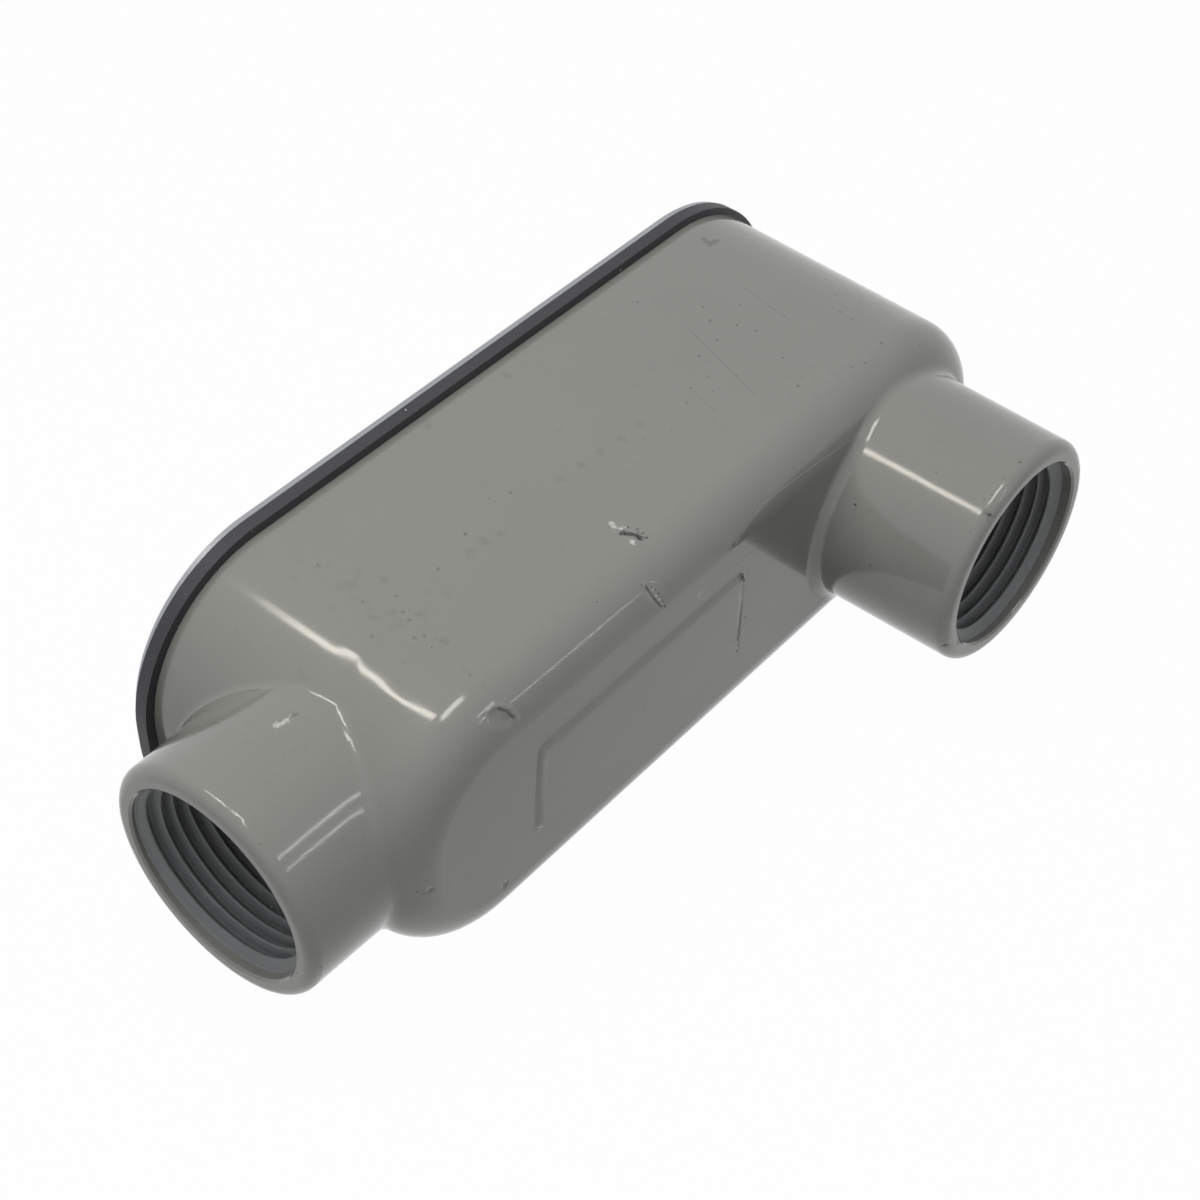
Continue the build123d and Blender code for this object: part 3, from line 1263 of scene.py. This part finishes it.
@dataclass
class Casting:
    """The cast body with the marks that it bears, pressed into a copy of the solid's mesh."""

    view: Viewpoint
    name: str = "cast_body"
    node: str = "body"
    slot: str = "painted_casting"
    slope_step: float = 0.01
    upright: float = 0.9
    marks: tuple[Mark, ...] = MARKS

    def trace(self, tree: BVHTree) -> list[Trace]:
        """Lay the marks' pixels on the surface.

        Args:
            tree: the casting's triangles, to cast rays at.

        Returns:
            A trace for each line and for each scattered spot.
        """
        traces = []
        for mark in self.marks:
            eye = Vector(self.view.place)
            hits = [tree.ray_cast(eye, self.view.sight(p)) for p in mark.pixels()]
            spots = np.array([hit[0] for hit in hits])
            normals = np.array([hit[1] for hit in hits])
            every = range(len(hits))
            for row in [[i] for i in every] if mark.scattered else [list(every)]:
                normal = normals[row].sum(axis=0)
                traces.append(Trace(mark, spots[row], normal / np.linalg.norm(normal)))
        return traces

    def press(self, name: str, facets: Facets, traces: list[Trace]) -> bpy.types.Mesh:
        """Move the surface by the marks' heights, turn its normals and store the marks' wear and their
        painted light and shade.

        Args:
            name: the mesh's name.
            facets: the refined surface.
            traces: the marks on it.

        Returns:
            The mesh.
        """
        points, normals, rows = facets.welded()
        normals = normals / np.linalg.norm(normals, axis=1)[:, None]
        leaning = np.abs(normals[:, 2:]) < self.upright
        helper = np.where(leaning, (0.0, 0.0, 1.0), (1.0, 0.0, 0.0))
        first = np.cross(helper, normals)
        first /= np.linalg.norm(first, axis=1)[:, None]
        second = np.cross(normals, first)
        height = np.zeros(len(points))
        slopes = np.zeros((2, len(points)))
        # Grime and bare metal at each place, with the painted shade and painted light that some marks
        # carry
        wear_and_painted_light = {"dirt_and_shade": np.zeros(len(points)), "bare_and_highlight": np.zeros(len(points))}
        for trace in traces:
            near = np.zeros(len(points), dtype=bool)
            for patch in trace.patches():
                near |= patch.holds(points, normals)
            here = points[near]
            level = trace.height(here)
            height[near] += level
            for slope, side in zip(slopes, (first, second)):
                ahead = trace.height(here + side[near] * self.slope_step)
                slope[near] += (ahead - level) / self.slope_step
            cover = trace.cover(here)
            for kind, share in (("dirt_and_shade", trace.mark.dirt_and_shade), ("bare_and_highlight", trace.mark.bare_and_highlight)):
                wear_and_painted_light[kind][near] = np.maximum(wear_and_painted_light[kind][near], share * cover)
        turned = normals - first * slopes[0][:, None] - second * slopes[1][:, None]
        turned /= np.linalg.norm(turned, axis=1)[:, None]
        moved = (points + normals * height[:, None]) * MM
        mesh = bpy.data.meshes.new(name)
        mesh.from_pydata(moved.tolist(), [], rows.tolist())
        for kind, values in wear_and_painted_light.items():
            mesh.attributes.new(kind, "FLOAT", "POINT").data.foreach_set("value", values)
        mesh.shade_smooth()
        mesh.normals_split_custom_set_from_vertices(turned.tolist())
        return mesh

    def build(self, material: bpy.types.Material) -> bpy.types.Object:
        """Make the marked casting in place of its plain solid.

        Args:
            material: the enamel.

        Returns:
            The casting's object.
        """
        facets = Facets.of(frame["nodes"][self.node])
        tree = facets.tree()
        traces = self.trace(tree)
        facets = facets.refined([patch for trace in traces for patch in trace.patches()], tree)
        casting = new_object(self.name, self.press(self.name, facets, traces))
        dress(casting, material)
        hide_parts(self.node)
        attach(casting, ROOT)
        log.info("%s: %d marks, %d faces", self.name, len(traces), len(facets.corners))
        return casting


@dataclass
class PipeThread:
    """Tapered pipe thread cut inside one hub, seated on the bore's wall."""

    name: str
    mount: str
    pitch: float = 25.4 / 14
    height: float = 1.2
    crest_share: float = 0.12
    root_share: float = 0.14
    taper: float = 1 / 32
    lead_in_turns: float = 0.5
    seat: float = 0.06
    steps_per_turn: int = 160
    flank_steps: int = 5

    def profile(self) -> list[tuple[float, float]]:
        """Section of one turn from the mouth inward.

        Returns:
            Pairs of place along the pitch, from 0 to 1, and height, from 0 to 1.
        """
        flank = (1 - self.crest_share - self.root_share) / 2
        points = [(0.0, 0.0), (self.root_share, 0.0)]
        for step in range(1, self.flank_steps + 1):
            share = step / self.flank_steps
            points.append((self.root_share + flank * share, share))
        points.append((self.root_share + flank + self.crest_share, 1.0))
        for step in range(1, self.flank_steps + 1):
            share = step / self.flank_steps
            points.append((1 - flank * (1 - share), 1 - share))
        return points

    def build(self, material: bpy.types.Material) -> bpy.types.Object:
        """Make the thread as one closed band of turns.

        Args:
            material: finish of the cut metal.

        Returns:
            The thread's object.
        """
        mount = next(m for m in frame["record"]["mounts"] if m["name"] == self.mount)
        axis = Vector(mount["axis"])
        radius = mount["dims"]["r_mm"]
        length = mount["dims"]["length_mm"]
        mouth = Vector(mount["pos_m"]) + axis * length / 2 * MM
        side = Vector((0, 0, 1))
        other = axis.cross(side)
        section = self.profile()
        turns = length / self.pitch - 1
        count = int(turns * self.steps_per_turn)
        back = radius + 2 * self.seat
        points = []
        for step in range(count + 1):
            turn = step / self.steps_per_turn
            angle = 2 * math.pi * turn
            out = side * math.cos(angle) + other * math.sin(angle)
            fade = min(1.0, turn / self.lead_in_turns, (turns - turn) / self.lead_in_turns)
            fade = math.sin(max(fade, 0.0) * math.pi / 2)
            for share, rise in section:
                depth = (turn + share) * self.pitch
                reach = radius - self.seat - self.taper * depth - rise * self.height * fade
                points.append(mouth - axis * depth * MM + out * reach * MM)
            for share in (1.0, 0.0):
                depth = (turn + share) * self.pitch
                points.append(mouth - axis * depth * MM + out * back * MM)
        row = len(section) + 2
        faces = []
        for here in range(0, count * row, row):
            ahead = here + row
            for spot in range(row):
                after = (spot + 1) % row
                faces.append((here + spot, here + after, ahead + after, ahead + spot))
        faces.append(tuple(reversed(range(row))))
        faces.append(tuple(range(count * row, (count + 1) * row)))
        mesh = bpy.data.meshes.new(self.name)
        mesh.from_pydata(points, [], faces)
        mesh.validate()
        work = bmesh.new()
        work.from_mesh(mesh)
        bmesh.ops.recalc_face_normals(work, faces=work.faces)
        work.to_mesh(mesh)
        work.free()
        thread = new_object(self.name, mesh)
        dress(thread, material)
        for polygon in mesh.polygons:
            polygon.use_smooth = True
        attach(thread, ROOT)
        log.info("%s: %d faces", self.name, len(mesh.polygons))
        return thread


def main() -> None:
    """Build the camera, the studio and every piece, and report the studio, the casting and the threads.
    """
    logging.basicConfig(level=logging.INFO, format="%(message)s")
    bpy.context.view_layer.update()
    view = Viewpoint()
    view.build()
    Studio().build()
    enamel = BakedEnamel().material()
    Casting(view).build(enamel)
    dress(frame["nodes"]["gasket"], SheetRubber().material())
    aluminium = RolledSheet("rolled_aluminium_sheet", "#a9abb0", "#93959a", 0.34)
    dress(frame["nodes"]["cover"], aluminium.material())
    zinc = RolledSheet("zinc_plated_steel", "#b4b7bb", "#a2a5aa", 0.28).material()
    dress(frame["nodes"]["cover_screw_hub_end"], zinc)
    dress(frame["nodes"]["cover_screw_closed_end"], zinc)
    PipeThread("end_hub_thread", "end_hub").build(CutThread(HubAxis.X).material())
    PipeThread("back_hub_thread", "back_hub").build(CutThread(HubAxis.Y).material())
    bpy.context.view_layer.update()


if __name__ == "__main__":
    main()
